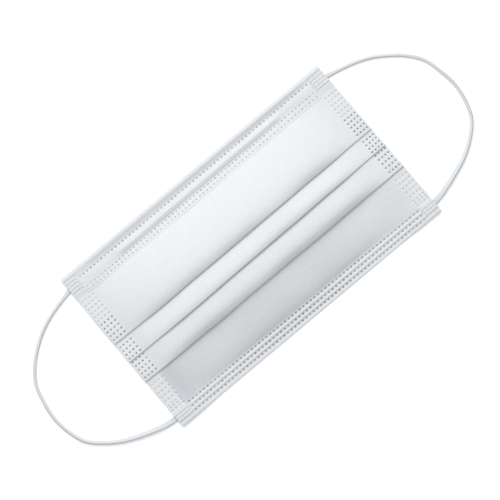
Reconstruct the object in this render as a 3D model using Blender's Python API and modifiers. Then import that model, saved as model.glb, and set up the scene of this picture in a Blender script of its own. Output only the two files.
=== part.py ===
"""A pleated three-ply surgical face mask, lying with its inner side down.

Metres, +Z up. X runs along the two long edges and +Y points to the nose edge. The origin is the
middle of the mask on the surface that it lies on. "Down" is the distance from the nose edge
towards the chin edge, and a "share" of the width runs from 0 at the left side to 1 at the right.
"""

import math
from collections import namedtuple

import bmesh
import bpy
from mathutils import Vector, geometry

# The mask as it lies, with its pleats closed.
MASK_WIDTH = 0.175
MASK_HEIGHT = 0.100
SIDE_LEAN = 0.0015  # the chin edge is this much longer, all of it at the right side

# The cloth, which is three plies pressed into one, and the gaps that keep the pieces apart.
CLOTH_WALL = 0.001
PLY_GAP = 0.0003
PIECE_GAP = 0.0003

# The bulge between the hems and the side bands.
DOME_RISE = 0.011
DOME_FULLNESS = 3.0  # the power of the bulge across the width: higher is flatter on top
SIDE_BAND = 0.009
BAND_ROOT = 0.001  # how far the loose cloth runs into the fused band
BAND_SPREAD = 0.0001  # how far the fused band spreads past the edge of the loose cloth
BAND_PRESS = 0.35  # the thickness that the layers are pressed to at the band, as a share
PRESS_LENGTH = 0.010
SETTLE_LENGTH = 0.018  # the stretch where the cloth comes down from the loop ends to the table

# The hems folded over the two long edges.
NOSE_HEM = 0.0145
CHIN_HEM = 0.0087
HEM_NOSE_RADIUS = 0.0006

# The nose wire inside the upper hem.
WIRE_LENGTH = 0.104
WIRE_WIDTH = 0.003
WIRE_THICKNESS = 0.0006
WIRE_DOWN = 0.0078
CHANNEL_ROOM = 0.0006
CHANNEL_SLOPE = 0.0012
CHANNEL_FADE = 0.007

# The elastic tape of the ear loops, and its ends, welded flat under the corners.
TAPE_WIDTH = 0.003
LOOP_END_THICKNESS = 0.0008
LOOP_END_LENGTH = 0.0095
LOOP_END_PROUD = 0.0015  # how far an end shows past the side of the mask
LOOP_END_ROUND = 0.0002
NOSE_END_DOWN = 0.0073
CHIN_END_UP = 0.0056  # from the chin edge
CORD_RADIUS = 0.001
CORD_LIFT = 0.00005
CORD_SPACING = 0.0042

# The visible panels from the nose edge to the chin edge. "end" is the line of the fold that
# closes the panel and "tuck" the hidden turn behind it, as shares of the height. "crest" is how
# high the fold stands and "bow" how far the panel's middle arches, as shares of the dome's rise.
Panel = namedtuple("Panel", "end tuck crest bow")
PANELS = (
    Panel(end=0.446, tuck=0.315, crest=0.93, bow=0.12),
    Panel(end=0.567, tuck=0.476, crest=1.00, bow=0.03),
    Panel(end=0.703, tuck=0.600, crest=0.96, bow=0.03),
    Panel(end=1 - CHIN_HEM / MASK_HEIGHT, tuck=None, crest=0.0, bow=0.10),
)

# Where the sections of the cloth stand, as shares of the way from a side band to the middle.
SECTIONS = (0.03, 0.07, 0.13, 0.22, 0.36, 0.56, 0.78, 1.0)
TURN_STEPS = 4

# The ear loops' routes in millimetres, from the chin end round to the nose end, chosen by hand.
RIGHT_LOOP_MM = (
    (90.0, -44.4),
    (93.9, -43.7),
    (98.2, -42.3),
    (107.0, -39.3),
    (115.6, -35.6),
    (124.0, -30.4),
    (131.0, -23.1),
    (134.7, -13.5),
    (135.9, -3.4),
    (134.7, 6.6),
    (131.9, 16.1),
    (126.3, 24.1),
    (119.2, 30.3),
    (111.5, 35.3),
    (103.4, 38.8),
    (95.0, 41.1),
    (88.7, 42.7),
)
LEFT_LOOP_MM = (
    (-90.1, -44.4),
    (-95.4, -43.8),
    (-99.8, -42.4),
    (-108.4, -39.4),
    (-117.1, -35.6),
    (-125.5, -30.4),
    (-132.6, -23.1),
    (-136.3, -13.5),
    (-137.4, -3.4),
    (-136.2, 6.6),
    (-133.4, 16.1),
    (-127.8, 24.1),
    (-120.7, 30.3),
    (-113.0, 35.3),
    (-104.9, 38.8),
    (-96.5, 41.1),
    (-90.1, 42.7),
)

EDGE_INSET = CLOTH_WALL + PIECE_GAP  # the cloth's own edge lies inside the fold of the hem
LAYER_PITCH = CLOTH_WALL + PLY_GAP
BAND_RISE = 4 * BAND_PRESS * LAYER_PITCH  # two pleats overlap there, each two layers deep


def clamp(value):
    return min(max(value, 0.0), 1.0)


def smooth(value):
    value = clamp(value)
    return value * value * (3 - 2 * value)


def spaced(start, end, count):
    """Evenly spaced values from start to end, both included."""
    return [start + (end - start) * step / (count - 1) for step in range(count)]


def inward(share):
    """How far a share of the width lies in from the nearer side band."""
    return min(share, 1 - share) * MASK_WIDTH - SIDE_BAND


def seat(share):
    """The height of the mask's underside where it lies flat."""
    return (LOOP_END_THICKNESS + PIECE_GAP) * (1 - smooth(inward(share) / SETTLE_LENGTH))


def press(share):
    """How thick the cloth is, as a share of its full wall."""
    return BAND_PRESS + (1 - BAND_PRESS) * smooth(inward(share) / PRESS_LENGTH)


def pitch(share):
    """The height from one layer of a pleat to the next."""
    return LAYER_PITCH * press(share)


def rise(share):
    """How far the cloth bulges at this share of the width."""
    way_in = clamp(inward(share) / (MASK_WIDTH / 2 - SIDE_BAND))
    return BAND_RISE + (DOME_RISE - BAND_RISE) * (1 - (1 - way_in) ** DOME_FULLNESS)


def place(share, down, up):
    """A point on the mask, up above the surface that it lies on."""
    left = -(MASK_WIDTH + SIDE_LEAN) / 2
    width = MASK_WIDTH + SIDE_LEAN * down / MASK_HEIGHT
    return Vector((left + share * width, MASK_HEIGHT / 2 - down, up))


def panel_up(index, down, share):
    """How far the middle of a visible panel's cloth stands above the flat cloth."""
    panel = PANELS[index]
    start, start_up = NOSE_HEM, 0.0
    if index > 0:
        start = PANELS[index - 1].end * MASK_HEIGHT
        start_up = panel_up(index - 1, start, share) - 2 * pitch(share)
    along = (down - start) / (panel.end * MASK_HEIGHT - start)
    level = start_up + (panel.crest * rise(share) - start_up) * along
    return level + panel.bow * rise(share) * math.sin(math.pi * clamp(along))


def layer(index, start, end, depth, count, share):
    """Points along a panel, this many layers below its face."""
    return [
        (down, panel_up(index, down, share) - depth * pitch(share))
        for down in spaced(start, end, count)
    ]


def turn(index, centre, depth, side, share):
    """The half circle from one layer to the next below, towards the chin for side 1."""
    radius = pitch(share) / 2
    top = panel_up(index, centre, share) - depth * pitch(share)
    angles = [math.pi * step / TURN_STEPS for step in range(1, TURN_STEPS)]
    return [
        (centre + side * radius * math.sin(a), top - radius + radius * math.cos(a)) for a in angles
    ]


def cloth_line(share):
    """The middle of the cloth from edge to edge, as (down, up) points above the flat cloth."""
    half_turn = (pitch(share) + CLOTH_WALL * press(share)) / 2
    line = [(EDGE_INSET + BAND_SPREAD, 0.0)]
    start = NOSE_HEM
    for index, panel in enumerate(PANELS):
        end = panel.end * MASK_HEIGHT
        if panel.tuck is None:
            line += layer(index, start, end, 0, 8, share)
            break
        fold_centre = end - half_turn
        tuck_centre = panel.tuck * MASK_HEIGHT + half_turn
        line += layer(index, start, fold_centre, 0, 8 if index == 0 else 5, share)
        line += turn(index, fold_centre, 0, 1, share)
        line += layer(index, fold_centre, tuck_centre, 1, 4, share)
        line += turn(index, tuck_centre, 1, -1, share)
        line += layer(index, tuck_centre, end, 2, 5, share)
        start = end + half_turn
    return line + [(MASK_HEIGHT - EDGE_INSET - BAND_SPREAD, 0.0)]


def section_shares(outer):
    """The shares of the width where sections stand: the outer ones, then SECTIONS, mirrored."""
    half_span = MASK_WIDTH / 2 - SIDE_BAND
    left = outer + [(SIDE_BAND + section * half_span) / MASK_WIDTH for section in SECTIONS]
    return left + [1 - share for share in reversed(left[:-1])]


def new_object(name, mesh, collection, material):
    part = bpy.data.objects.new(name, mesh)
    collection.objects.link(part)
    part.data.materials.append(material)
    return part


def new_sheet(name, shares, line_at, collection, material):
    """An open sheet whose section at each share of the width is a line of (down, up) points."""
    lines = [line_at(share) for share in shares]
    bm = bmesh.new()
    columns, rows = len(shares) - 1, len(lines[0]) - 1
    bmesh.ops.create_grid(bm, x_segments=columns, y_segments=rows, size=1)
    mesh = bpy.data.meshes.new(name)
    weights = []
    for vert in bm.verts:
        column = round((vert.co.x + 1) / 2 * columns)
        row = rows - round((vert.co.y + 1) / 2 * rows)
        down, up = lines[column][row]
        vert.co = place(shares[column], down, seat(shares[column]) + CLOTH_WALL / 2 + up)
        weights.append(press(shares[column]))
    bm.to_mesh(mesh)
    bm.free()
    mesh.shade_smooth()
    sheet = new_object(name, mesh, collection, material)
    pressed = sheet.vertex_groups.new(name="pressed")
    for index, weight in enumerate(weights):
        pressed.add([index], weight, "REPLACE")
    return sheet


def add_wall(sheet, group=""):
    wall = sheet.modifiers.new("wall", "SOLIDIFY")
    wall.thickness = CLOTH_WALL
    wall.offset = 0
    wall.use_even_offset = True
    wall.vertex_group = group


def band_outline(share):
    """A side band seen along X: flat below, with the panels' steps on top."""
    outline = [(MASK_HEIGHT - EDGE_INSET, 0.0), (EDGE_INSET, 0.0), (EDGE_INSET, CLOTH_WALL)]
    start = NOSE_HEM
    for index, panel in enumerate(PANELS):
        end = panel.end * MASK_HEIGHT
        top = layer(index, start, end, 0, 5, share)
        outline += [(down, up + CLOTH_WALL) for down, up in top]
        if panel.tuck is not None:
            start = end + PLY_GAP
            outline.append((start, outline[-1][1]))
    return outline + [(MASK_HEIGHT - EDGE_INSET, CLOTH_WALL)]


def add_side_band(sheet, name, inner, outer, collection, material):
    """Fuses the pressed layers with a solid band from one share of the width to another."""
    bm = bmesh.new()
    level = seat(inner)
    ring = [bm.verts.new(place(inner, down, level + up)) for down, up in band_outline(inner)]
    cap = bm.faces.new(ring)
    moved = bmesh.ops.extrude_face_region(bm, geom=[cap])["geom"]
    for vert in moved:
        if isinstance(vert, bmesh.types.BMVert):
            vert.co = place(outer, MASK_HEIGHT / 2 - vert.co.y, vert.co.z)
    bmesh.ops.recalc_face_normals(bm, faces=bm.faces)
    mesh = bpy.data.meshes.new(name)
    bm.to_mesh(mesh)
    bm.free()
    band = new_object(name, mesh, collection, material)
    band.hide_render = True
    band.display_type = "WIRE"
    union = sheet.modifiers.new(name, "BOOLEAN")
    union.operation = "UNION"
    union.object = band


def make_pleated_panel(collection, helpers, material):
    inner = SIDE_BAND / MASK_WIDTH
    root = (SIDE_BAND - BAND_ROOT) / MASK_WIDTH
    panel = new_sheet("pleated_panel", section_shares([root]), cloth_line, collection, material)
    add_wall(panel, "pressed")
    add_side_band(panel, "left_band", inner, 0.0, helpers, material)
    add_side_band(panel, "right_band", 1 - inner, 1.0, helpers, material)


def channel_lift(share):
    """How much the upper hem lifts over the nose wire, 0 to 1."""
    past_wire = abs(share - 0.5) * MASK_WIDTH - WIRE_LENGTH / 2 - CHANNEL_ROOM
    return 1 - clamp(past_wire / CHANNEL_FADE)


def nose_hem_line(share):
    """The upper hem from its raw edge, over the wire and round the mask's edge."""
    level = CLOTH_WALL + PIECE_GAP
    lift = (WIRE_THICKNESS + PIECE_GAP) * channel_lift(share)
    half = WIRE_WIDTH / 2 + CHANNEL_ROOM
    line = [
        (NOSE_HEM, level),
        (WIRE_DOWN + half + CHANNEL_SLOPE, level),
        (WIRE_DOWN + half, level + lift),
        (WIRE_DOWN - half, level + lift),
        (WIRE_DOWN - half - CHANNEL_SLOPE, level),
    ]
    return line + hem_turn(level)


def chin_hem_line(share):
    level = CLOTH_WALL + PIECE_GAP
    line = [(CHIN_HEM, level), (CHIN_HEM / 2, level)] + hem_turn(level)
    return [(MASK_HEIGHT - down, up) for down, up in line]


def hem_turn(level):
    """The fold round the edge of the mask, down to the underside."""
    middle = CLOTH_WALL / 2
    centre = middle + HEM_NOSE_RADIUS
    angles = [math.pi / 2 * step / TURN_STEPS for step in range(TURN_STEPS + 1)]
    bend = [
        (centre - HEM_NOSE_RADIUS * math.sin(a), level - HEM_NOSE_RADIUS * (1 - math.cos(a)))
        for a in angles
    ]
    return bend + [(middle, -middle)]


def make_hems(collection, material):
    shares = section_shares([0.0, SIDE_BAND / MASK_WIDTH])
    wire_end = 0.5 - (WIRE_LENGTH / 2 + CHANNEL_ROOM) / MASK_WIDTH
    fade_end = wire_end - CHANNEL_FADE / MASK_WIDTH
    wire_shares = [wire_end, fade_end, 1 - wire_end, 1 - fade_end]
    nose = new_sheet(
        "nose_hem", sorted(shares + wire_shares), nose_hem_line, collection, material
    )
    add_wall(nose)
    chin = new_sheet("chin_hem", shares, chin_hem_line, collection, material)
    add_wall(chin)


def new_block(name, size, centre, rounding, collection, material):
    """A flat strip with softened edges."""
    bpy.ops.mesh.primitive_cube_add(size=1, location=centre)
    block = bpy.context.object
    block.name = block.data.name = name
    for old in list(block.users_collection):
        old.objects.unlink(block)
    collection.objects.link(block)
    block.data.transform([(size[0], 0, 0, 0), (0, size[1], 0, 0), (0, 0, size[2], 0), (0, 0, 0, 1)])
    block.data.materials.append(material)
    bevel = block.modifiers.new("soft edges", "BEVEL")
    bevel.width = rounding
    bevel.segments = 1


def make_nose_wire(collection, material):
    up = CLOTH_WALL + PIECE_GAP + WIRE_THICKNESS / 2
    size = (WIRE_LENGTH, WIRE_WIDTH, WIRE_THICKNESS)
    centre = place(0.5, WIRE_DOWN, up)
    new_block("nose_wire", size, centre, WIRE_THICKNESS / 4, collection, material)


def make_loop_ends(collection, material):
    size = (LOOP_END_LENGTH, TAPE_WIDTH, LOOP_END_THICKNESS)
    for side, share, outward in (("left", 0.0, -1), ("right", 1.0, 1)):
        for edge, down in (("nose", NOSE_END_DOWN), ("chin", MASK_HEIGHT - CHIN_END_UP)):
            centre = place(share, down, LOOP_END_THICKNESS / 2)
            centre.x += outward * (LOOP_END_PROUD - LOOP_END_LENGTH / 2)
            name = f"loop_end_{side}_{edge}"
            new_block(name, size, centre, LOOP_END_ROUND, collection, material)


def smooth_route(points):
    """Evenly spaced points on a smooth curve through the points."""
    tangents = [(points[min(i + 1, len(points) - 1)] - points[max(i - 1, 0)]) / 2
                for i in range(len(points))]
    dense = [points[0]]
    for i in range(len(points) - 1):
        handles = (points[i] + tangents[i] / 3, points[i + 1] - tangents[i + 1] / 3)
        dense += geometry.interpolate_bezier(points[i], *handles, points[i + 1], 16)[1:]
    steps = [(b - a).length for a, b in zip(dense, dense[1:])]
    count = round(sum(steps) / CORD_SPACING)
    even = [dense[0]]
    walked, target = 0.0, sum(steps) / count
    for step, point in zip(steps, dense[1:]):
        walked += step
        if walked >= target * len(even) and len(even) < count:
            even.append(point)
    return even + [dense[-1]]


def make_ear_loop(name, route_mm, collection, material):
    up = CORD_RADIUS + CORD_LIFT
    route = smooth_route([Vector((x / 1000, y / 1000, up)) for x, y in route_mm])
    curve = bpy.data.curves.new(name, "CURVE")
    curve.dimensions = "3D"
    curve.bevel_depth = CORD_RADIUS
    curve.bevel_resolution = 2
    curve.use_fill_caps = True
    spline = curve.splines.new("POLY")
    spline.points.add(len(route) - 1)
    for point, place_at in zip(spline.points, route):
        point.co = (*place_at, 1)
    new_object(name, curve, collection, material)


def new_material(name, colour, roughness):
    material = bpy.data.materials.new(name)
    material.use_nodes = True
    shader = material.node_tree.nodes["Principled BSDF"]
    shader.inputs["Base Color"].default_value = (*colour, 1)
    shader.inputs["Roughness"].default_value = roughness
    return material


def main():
    for old in list(bpy.data.objects):
        bpy.data.objects.remove(old)
    mask = bpy.data.collections.new("surgical face mask")
    helpers = bpy.data.collections.new("helpers")
    bpy.context.scene.collection.children.link(mask)
    bpy.context.scene.collection.children.link(helpers)
    cloth = new_material("nonwoven cloth", (0.83, 0.85, 0.88), 0.85)
    hem_cloth = new_material("hem cloth", (0.80, 0.82, 0.85), 0.85)
    wire_cover = new_material("coated wire", (0.85, 0.86, 0.88), 0.45)
    elastic = new_material("elastic tape", (0.82, 0.83, 0.86), 0.8)
    make_pleated_panel(mask, helpers, cloth)
    make_hems(mask, hem_cloth)
    make_nose_wire(mask, wire_cover)
    make_loop_ends(mask, elastic)
    make_ear_loop("ear_loop_right", RIGHT_LOOP_MM, mask, elastic)
    make_ear_loop("ear_loop_left", LEFT_LOOP_MM, mask, elastic)


main()
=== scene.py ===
"""The looks of a pleated surgical face mask that lies on a white table, outer side up.

Metres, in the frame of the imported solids: X runs along the two long edges, +Y points to the nose
edge and +Z up from the table. "Down" is the distance from the nose edge towards the chin edge,
and a "share" of the width runs from 0 at the left side to 1 at the right.
"""

import math
import random
from collections import namedtuple

import bmesh
import bpy
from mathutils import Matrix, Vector, geometry, noise


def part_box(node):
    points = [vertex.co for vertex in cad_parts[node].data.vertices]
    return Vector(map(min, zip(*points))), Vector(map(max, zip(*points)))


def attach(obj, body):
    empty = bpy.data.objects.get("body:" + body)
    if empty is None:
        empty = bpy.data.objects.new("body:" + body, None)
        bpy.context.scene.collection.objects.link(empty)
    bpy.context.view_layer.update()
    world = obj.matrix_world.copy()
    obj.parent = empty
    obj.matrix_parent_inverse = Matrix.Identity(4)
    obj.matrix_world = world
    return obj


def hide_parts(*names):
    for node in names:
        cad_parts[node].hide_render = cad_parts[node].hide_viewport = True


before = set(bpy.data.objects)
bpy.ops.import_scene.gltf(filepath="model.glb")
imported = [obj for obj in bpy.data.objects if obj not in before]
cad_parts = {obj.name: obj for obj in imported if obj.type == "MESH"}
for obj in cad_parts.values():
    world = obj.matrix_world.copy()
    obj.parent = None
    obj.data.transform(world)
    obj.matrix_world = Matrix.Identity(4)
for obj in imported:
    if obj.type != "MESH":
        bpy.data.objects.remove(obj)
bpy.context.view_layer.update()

# The pleated panel: three plies of nonwoven cloth laid in three shingled pleats, which are fused
# at both sides by four columns of ultrasonic weld dots. The cloth bulges between the side bands,
# and rolls down into a tight crease at each fold.
MM = 0.001
SIDE_LEAN = 1.5 * MM  # the chin edge is this much longer, all of it at the right side
nose_low, nose_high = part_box("nose_hem")
chin_low, chin_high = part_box("chin_hem")
MASK_HEIGHT = nose_high.y - chin_low.y
MASK_WIDTH = chin_high.x - chin_low.x - SIDE_LEAN
NOSE_HEM = nose_high.y - nose_low.y
CHIN_START = MASK_HEIGHT - (chin_high.y - chin_low.y)

CLOTH = 0.36 * MM
TAPE_SEAT = 1.0 * MM  # how far the tape ends lift the corners off the table
TAPE_REACH = 8 * MM
SEAT_BETWEEN = 0.66  # the share of that lift which is left halfway down a side
SETTLE_LENGTH = 18 * MM
BAND_RISE = 1.6 * MM
DOME_RISE = 12.0 * MM
DOME_FULLNESS = 3.3
RISE_START = 12.0 * MM  # where the cloth starts to rise below the nose edge
BAND_PITCH = 0.40 * MM  # from one layer of a pleat to the next
LOOSE_PITCH = 0.60 * MM
ROLL_EASE = 1.12  # above 1 the cloth levels out a little just before the fold
ROLL_SIDE = 0.15  # the share of a fold's roll that is left in the side bands
ROLL_WAVE = 0.4
BILLOW = 0.24 * MM
LINE_WAVE = 0.22 * MM
PUCKER = 0.10 * MM  # the ripple that each row of weld dots draws in the loose cloth
PUCKER_REACH = 5 * MM
PANEL_EDGE = 1.25 * MM  # the cloth's own edge lies inside the turn of the hem

# How far in from the side bands the layers come free, and the pleats' pitch, the folds' roll and
# the cloth's slack reach their full size.
FREE_REACH = 10 * MM
PITCH_REACH = 30 * MM
ROLL_REACH = 24 * MM
BILLOW_REACH = 20 * MM

# Slow noise: how many waves there are across the mask and per metre down it, and its seeds.
WAVES_ACROSS = 7
WAVE_SIZE = 1.6  # brings the noise to about 1
LINE_WAVES = 40
ROLL_SEED, LINE_SEED = 2.9, 3.3
FOLDS_APART = 3.7  # keeps the waves of one fold unlike the next one's
Ripple = namedtuple("Ripple", "across down seed size")
RIPPLES = (Ripple(5.5, 34, 1.7, BILLOW), Ripple(17, 90, 5.1, BILLOW * 0.35))

# "line" is where a fold shows and "tuck" the hidden turn behind it. "crest" is how high the fold
# stands and "bow" how far the panel above it arches, as shares of the rise. "roll" is how far the
# cloth rolls down into the fold, over about "length". The last three columns are how far the line
# drifts towards the nose near the left band, at the middle and at the right side.
Fold = namedtuple("Fold", "line tuck crest bow roll length near_left middle right")
FOLDS = (
    Fold(44.6 * MM, 31.5 * MM, 0.93, 0.12, 2.6 * MM, 2.7 * MM, -0.45 * MM, 0.0, 0.55 * MM),
    Fold(56.8 * MM, 47.6 * MM, 0.95, 0.03, 1.5 * MM, 1.8 * MM, -0.30 * MM, 0.35 * MM, 1.6 * MM),
    Fold(70.0 * MM, 60.0 * MM, 0.88, 0.03, 3.3 * MM, 2.4 * MM, -0.40 * MM, 0.10 * MM, 0.10 * MM),
)
NEAR_LEFT = 0.14
LAST_BOW = 0.05

# Painted shade: how far the cloth's colour is darkened in the creases, just above and below a fold's
# lip, where the chin hem starts, and in the hollows that the last panel makes beside the side bands.
LIP_SHADE = 0.16
LIP_LENGTH = 2.2 * MM
UNDER_SHADE = 0.15
UNDER_LENGTH = 2.0 * MM
CHIN_SHADE = 0.6
CHIN_SHADE_LENGTH = 2.4 * MM
HOLLOW_SHADES = (0.48, 0.12)  # at the left and at the right side
HOLLOW_LENGTH = 14 * MM
HOLLOW_START = 4 * MM  # a hollow starts over this length
HOLLOW_AT_BAND = 0.6  # and has come this far along it at the side band
SHADE_SIDE = 0.35  # the share of a fold's shade that is left in the side bands
SHADE_REACH = 40 * MM
CHIN_SHADE_REACH = 45 * MM

# The weld dots stand in columns across each side band, and in rows down it. These are the edges
# of the columns' cells, from the mask's side inwards. The first strip is a narrow sealed rim.
Bands = namedtuple("Bands", "left right")
BANDS = Bands(
    [0.0, 0.3 * MM, 2.25 * MM, 4.65 * MM, 7.05 * MM, 9.6 * MM],
    [0.0, 0.3 * MM, 2.25 * MM, 4.3 * MM, 6.5 * MM, 8.7 * MM],
)
RIM_DROP = 0.16 * MM
UPPER_ROWS = [(16.8 + 2.556 * row) * MM for row in range(22)]
LOWER_ROWS = [(73.2 + 2.8 * row) * MM for row in range(6)] + [88.75 * MM, 90.45 * MM]
WELD_CELL = 1.68 * MM
SAME_PLACE = 0.1 * MM  # two lines that lie closer than this count as one
CELL_ROUNDING = 1.01  # a cell may measure this much more
LOOSE_COLUMNS = 40
BOND_ACROSS = 1.5 * MM
BOND_ALONG = 1.3 * MM

# A weld dot: the half sides of its soft rim and of its pressed middle, how deep it is pressed,
# and the share of that depth at the rim.
Dot = namedtuple("Dot", "rim radius depth rim_fall")
BAND_DOT = Dot(0.78 * MM, 0.60 * MM, 0.40 * MM, 0.1)
FAINT_WELD = 0.35  # how strong a weld looks where there are no pleats
BAND_SPREAD = (0.75, 1.2)  # the least and the greatest strength of one dot beside another
LIGHT_PRESS = 0.3  # the share of its depth that the weakest dot keeps
INSET = 0.02 * MM  # any small inset will do, as each dot's corners are placed afterwards

# Where the sheet has rows besides those of the dots: under the two hems, and in a fold's turn.
UNDER_NOSE_HEM = (6 * MM, 10 * MM)
UNDER_CHIN_HEM = 5 * MM  # up from the chin edge
TURN_ANGLES = (45, 90, 135)
# How far the dots' rows stay clear of the upper hem, a fold's lip, its tuck, the row behind a lip,
# the fold above and the lower hem. A wider space than WIDE_GAP before a lip gets one more row.
HEM_GAP = 0.6 * MM
LIP_GAP = 0.25 * MM
TUCK_GAP = 0.5 * MM
BACK_GAP = 0.2 * MM
FOLD_GAP = 0.02 * MM
CHIN_GAP = 0.01 * MM
WIDE_GAP = 0.8 * MM

CLOTH_TONES = ((0.625, 0.635, 0.65), (0.81, 0.815, 0.82))
# the colour that painted shade in creases and hollows darkens the cloth towards
PAINTED_SHADE_TONE = (0.30, 0.325, 0.36)
PANEL_FILM = (0.24, 0.26, 0.29)  # the colour of a full weld
# The nonwoven's webs of fibres: how far each is turned, in radians, and how fine it is across the
# fibres. This and the scales below are per metre.
WEBS = ((0.3, 2300), (1.4, 2100), (2.5, 2500))
FIBRE_LENGTHWISE = 330
FIBRE_DEEP = 600
FIBRE_MEAN = 0.56
CLOUD_SCALE = 900.0
CLOUD_SHARE = 0.4
STREAK_SCALE = (70, 1700, 1700)
STREAK_SHARE = 0.3
BOND_START = 0.35
BOND_GAIN = 2.2
BOND_PRESS = -0.4


def clamp(value):
    return min(max(value, 0.0), 1.0)


def smooth(value):
    value = clamp(value)
    return value * value * (3 - 2 * value)


def wave(share, along, seed):
    """Slow noise between about -1 and 1."""
    return noise.noise(Vector((share * WAVES_ACROSS, along, seed))) * WAVE_SIZE


def nearer(bands, share):
    return bands.left if share < 0.5 else bands.right


def inward(share, bands=BANDS):
    """How far a share of the width lies in from the nearer side band."""
    return min(share, 1 - share) * MASK_WIDTH - nearer(bands, share)[-1]


def loose(share, reach=FREE_REACH):
    """0 in the fused side bands and 1 where the layers lie free."""
    return smooth(inward(share) / reach)


TAPE_LINES = []
for edge in ("nose", "chin"):
    low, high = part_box(f"loop_end_left_{edge}")
    TAPE_LINES.append(MASK_HEIGHT / 2 - (low.y + high.y) / 2)


def seat(share, down):
    """The height of the mask's underside, which the tape ends lift at the corners."""
    tape = max(1 - smooth((abs(down - line) - TAPE_REACH / 4) / TAPE_REACH) for line in TAPE_LINES)
    beside = 1 - smooth(inward(share) / SETTLE_LENGTH)
    return TAPE_SEAT * beside * (SEAT_BETWEEN + (1 - SEAT_BETWEEN) * tape)


def pitch(share):
    return BAND_PITCH + (LOOSE_PITCH - BAND_PITCH) * loose(share, PITCH_REACH)


def rise(share):
    """How far the cloth bulges at this share of the width."""
    way_in = clamp(inward(share) / (MASK_WIDTH / 2 - BANDS.left[-1]))
    return BAND_RISE + (DOME_RISE - BAND_RISE) * (1 - (1 - way_in) ** DOME_FULLNESS)


def drift(down, share):
    """How far a line across the mask is shifted towards the nose edge."""
    knots = [(0.0, 0.0, 0.0, 0.0)]
    knots += [(fold.line, fold.near_left, fold.middle, fold.right) for fold in FOLDS]
    knots.append((CHIN_START, 0.0, 0.0, 0.0))
    for (start, *above), (end, *below) in zip(knots, knots[1:]):
        if down <= end:
            break
    along = clamp((down - start) / (end - start))
    shifts = [0.0] + [a + (b - a) * along for a, b in zip(above, below)]
    stations = (0.0, NEAR_LEFT, 0.5, 1.0)
    for low, high, one, two in zip(stations, stations[1:], shifts, shifts[1:]):
        if share <= high:
            break
    return one + (two - one) * (share - low) / (high - low)


def place(share, down, up):
    """A point on the mask, up above its flat cloth's middle."""
    left = -(MASK_WIDTH + SIDE_LEAN) / 2
    width = MASK_WIDTH + SIDE_LEAN * down / MASK_HEIGHT
    return Vector((left + share * width, MASK_HEIGHT / 2 - down, seat(share, down) + CLOTH / 2 + up))


def roll_depth(index, share):
    """How far the cloth rolls down at this fold, a little unevenly along it."""
    even = ROLL_SIDE + (1 - ROLL_SIDE) * loose(share, ROLL_REACH)
    uneven = ROLL_WAVE * wave(share, index * FOLDS_APART, ROLL_SEED) * loose(share)
    return FOLDS[index].roll * even * (1 + uneven)


def panel_level(index, down, share):
    """The height of a visible panel before it rolls down into its fold."""
    start, start_up = RISE_START, 0.0
    if index > 0:
        start = FOLDS[index - 1].line
        above = panel_level(index - 1, start, share)
        start_up = above - roll_depth(index - 1, share) - 2 * pitch(share)
    last = index == len(FOLDS)
    end = CHIN_START if last else FOLDS[index].line
    crest, bow = (0.0, LAST_BOW) if last else (FOLDS[index].crest, FOLDS[index].bow)
    along = (down - start) / (end - start)
    level = start_up + (crest * rise(share) - start_up) * along
    return level + bow * rise(share) * math.sin(math.pi * clamp(along))


def layer_up(index, depth, down, share):
    """The height of one layer of a pleat: 0 is its visible face and 2 the deepest."""
    level = panel_level(index, down, share)
    if index == len(FOLDS):
        return level
    roll = roll_depth(index, share)
    if depth > 0:
        return level - roll - depth * pitch(share)
    above = max(FOLDS[index].line - down, 0.0) / FOLDS[index].length
    return level - roll * math.exp(-(above**ROLL_EASE))


def billow(share, down):
    """The cloth's slack, and the ripples that the weld dots draw beside the bands."""
    free = loose(share, BILLOW_REACH)
    slow = 0.0
    for ripple in RIPPLES:
        spot = Vector((share * ripple.across, down * ripple.down, ripple.seed))
        slow += noise.noise(spot) * ripple.size
    beside = math.exp(-max(inward(share), 0.0) / PUCKER_REACH) if inward(share) > 0 else 0.0
    phase = (down - UPPER_ROWS[0]) / (UPPER_ROWS[1] - UPPER_ROWS[0])
    return slow * free + PUCKER * beside * -math.cos(2 * math.pi * phase)


def crease_shade(row, share):
    """The painted shade here: the creases are darkened, as they catch less light than their slopes
    alone tell.
    """
    if row.depth > 0:
        return LIP_SHADE
    free = SHADE_SIDE + (1 - SHADE_SIDE) * loose(share, SHADE_REACH)
    shade = CHIN_SHADE * math.exp(-abs(row.down - CHIN_START) / CHIN_SHADE_LENGTH)
    shade *= loose(share, CHIN_SHADE_REACH)
    for fold in FOLDS:
        past = row.down - fold.line
        size, length = (UNDER_SHADE, UNDER_LENGTH) if past > 0 else (LIP_SHADE, LIP_LENGTH)
        shade += size * free * math.exp(-abs(past) / length)
    if row.index == len(FOLDS):
        started = smooth(inward(share) / HOLLOW_START + HOLLOW_AT_BAND)
        hollow = math.exp(-max(inward(share), 0.0) / HOLLOW_LENGTH) * started
        shade += HOLLOW_SHADES[share > 0.5] * hollow
    return shade


# A row of the cloth, followed from the nose edge to the chin edge through every pleat. A row in a
# turn has the angle that it has gone round, and lies to one side of the turn's centre.
ClothRow = namedtuple("ClothRow", "index depth down angle")


def layer_rows(index, depth, start, end, step=1):
    """The rows at the edges of the weld dots' cells between start and end."""
    cells = [(row - WELD_CELL / 2, row + WELD_CELL / 2) for row in UPPER_ROWS + LOWER_ROWS]
    marks = [mark for cell in cells for mark in cell][::step]
    return [ClothRow(index, depth, down, None) for down in marks if start < down < end]


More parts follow.
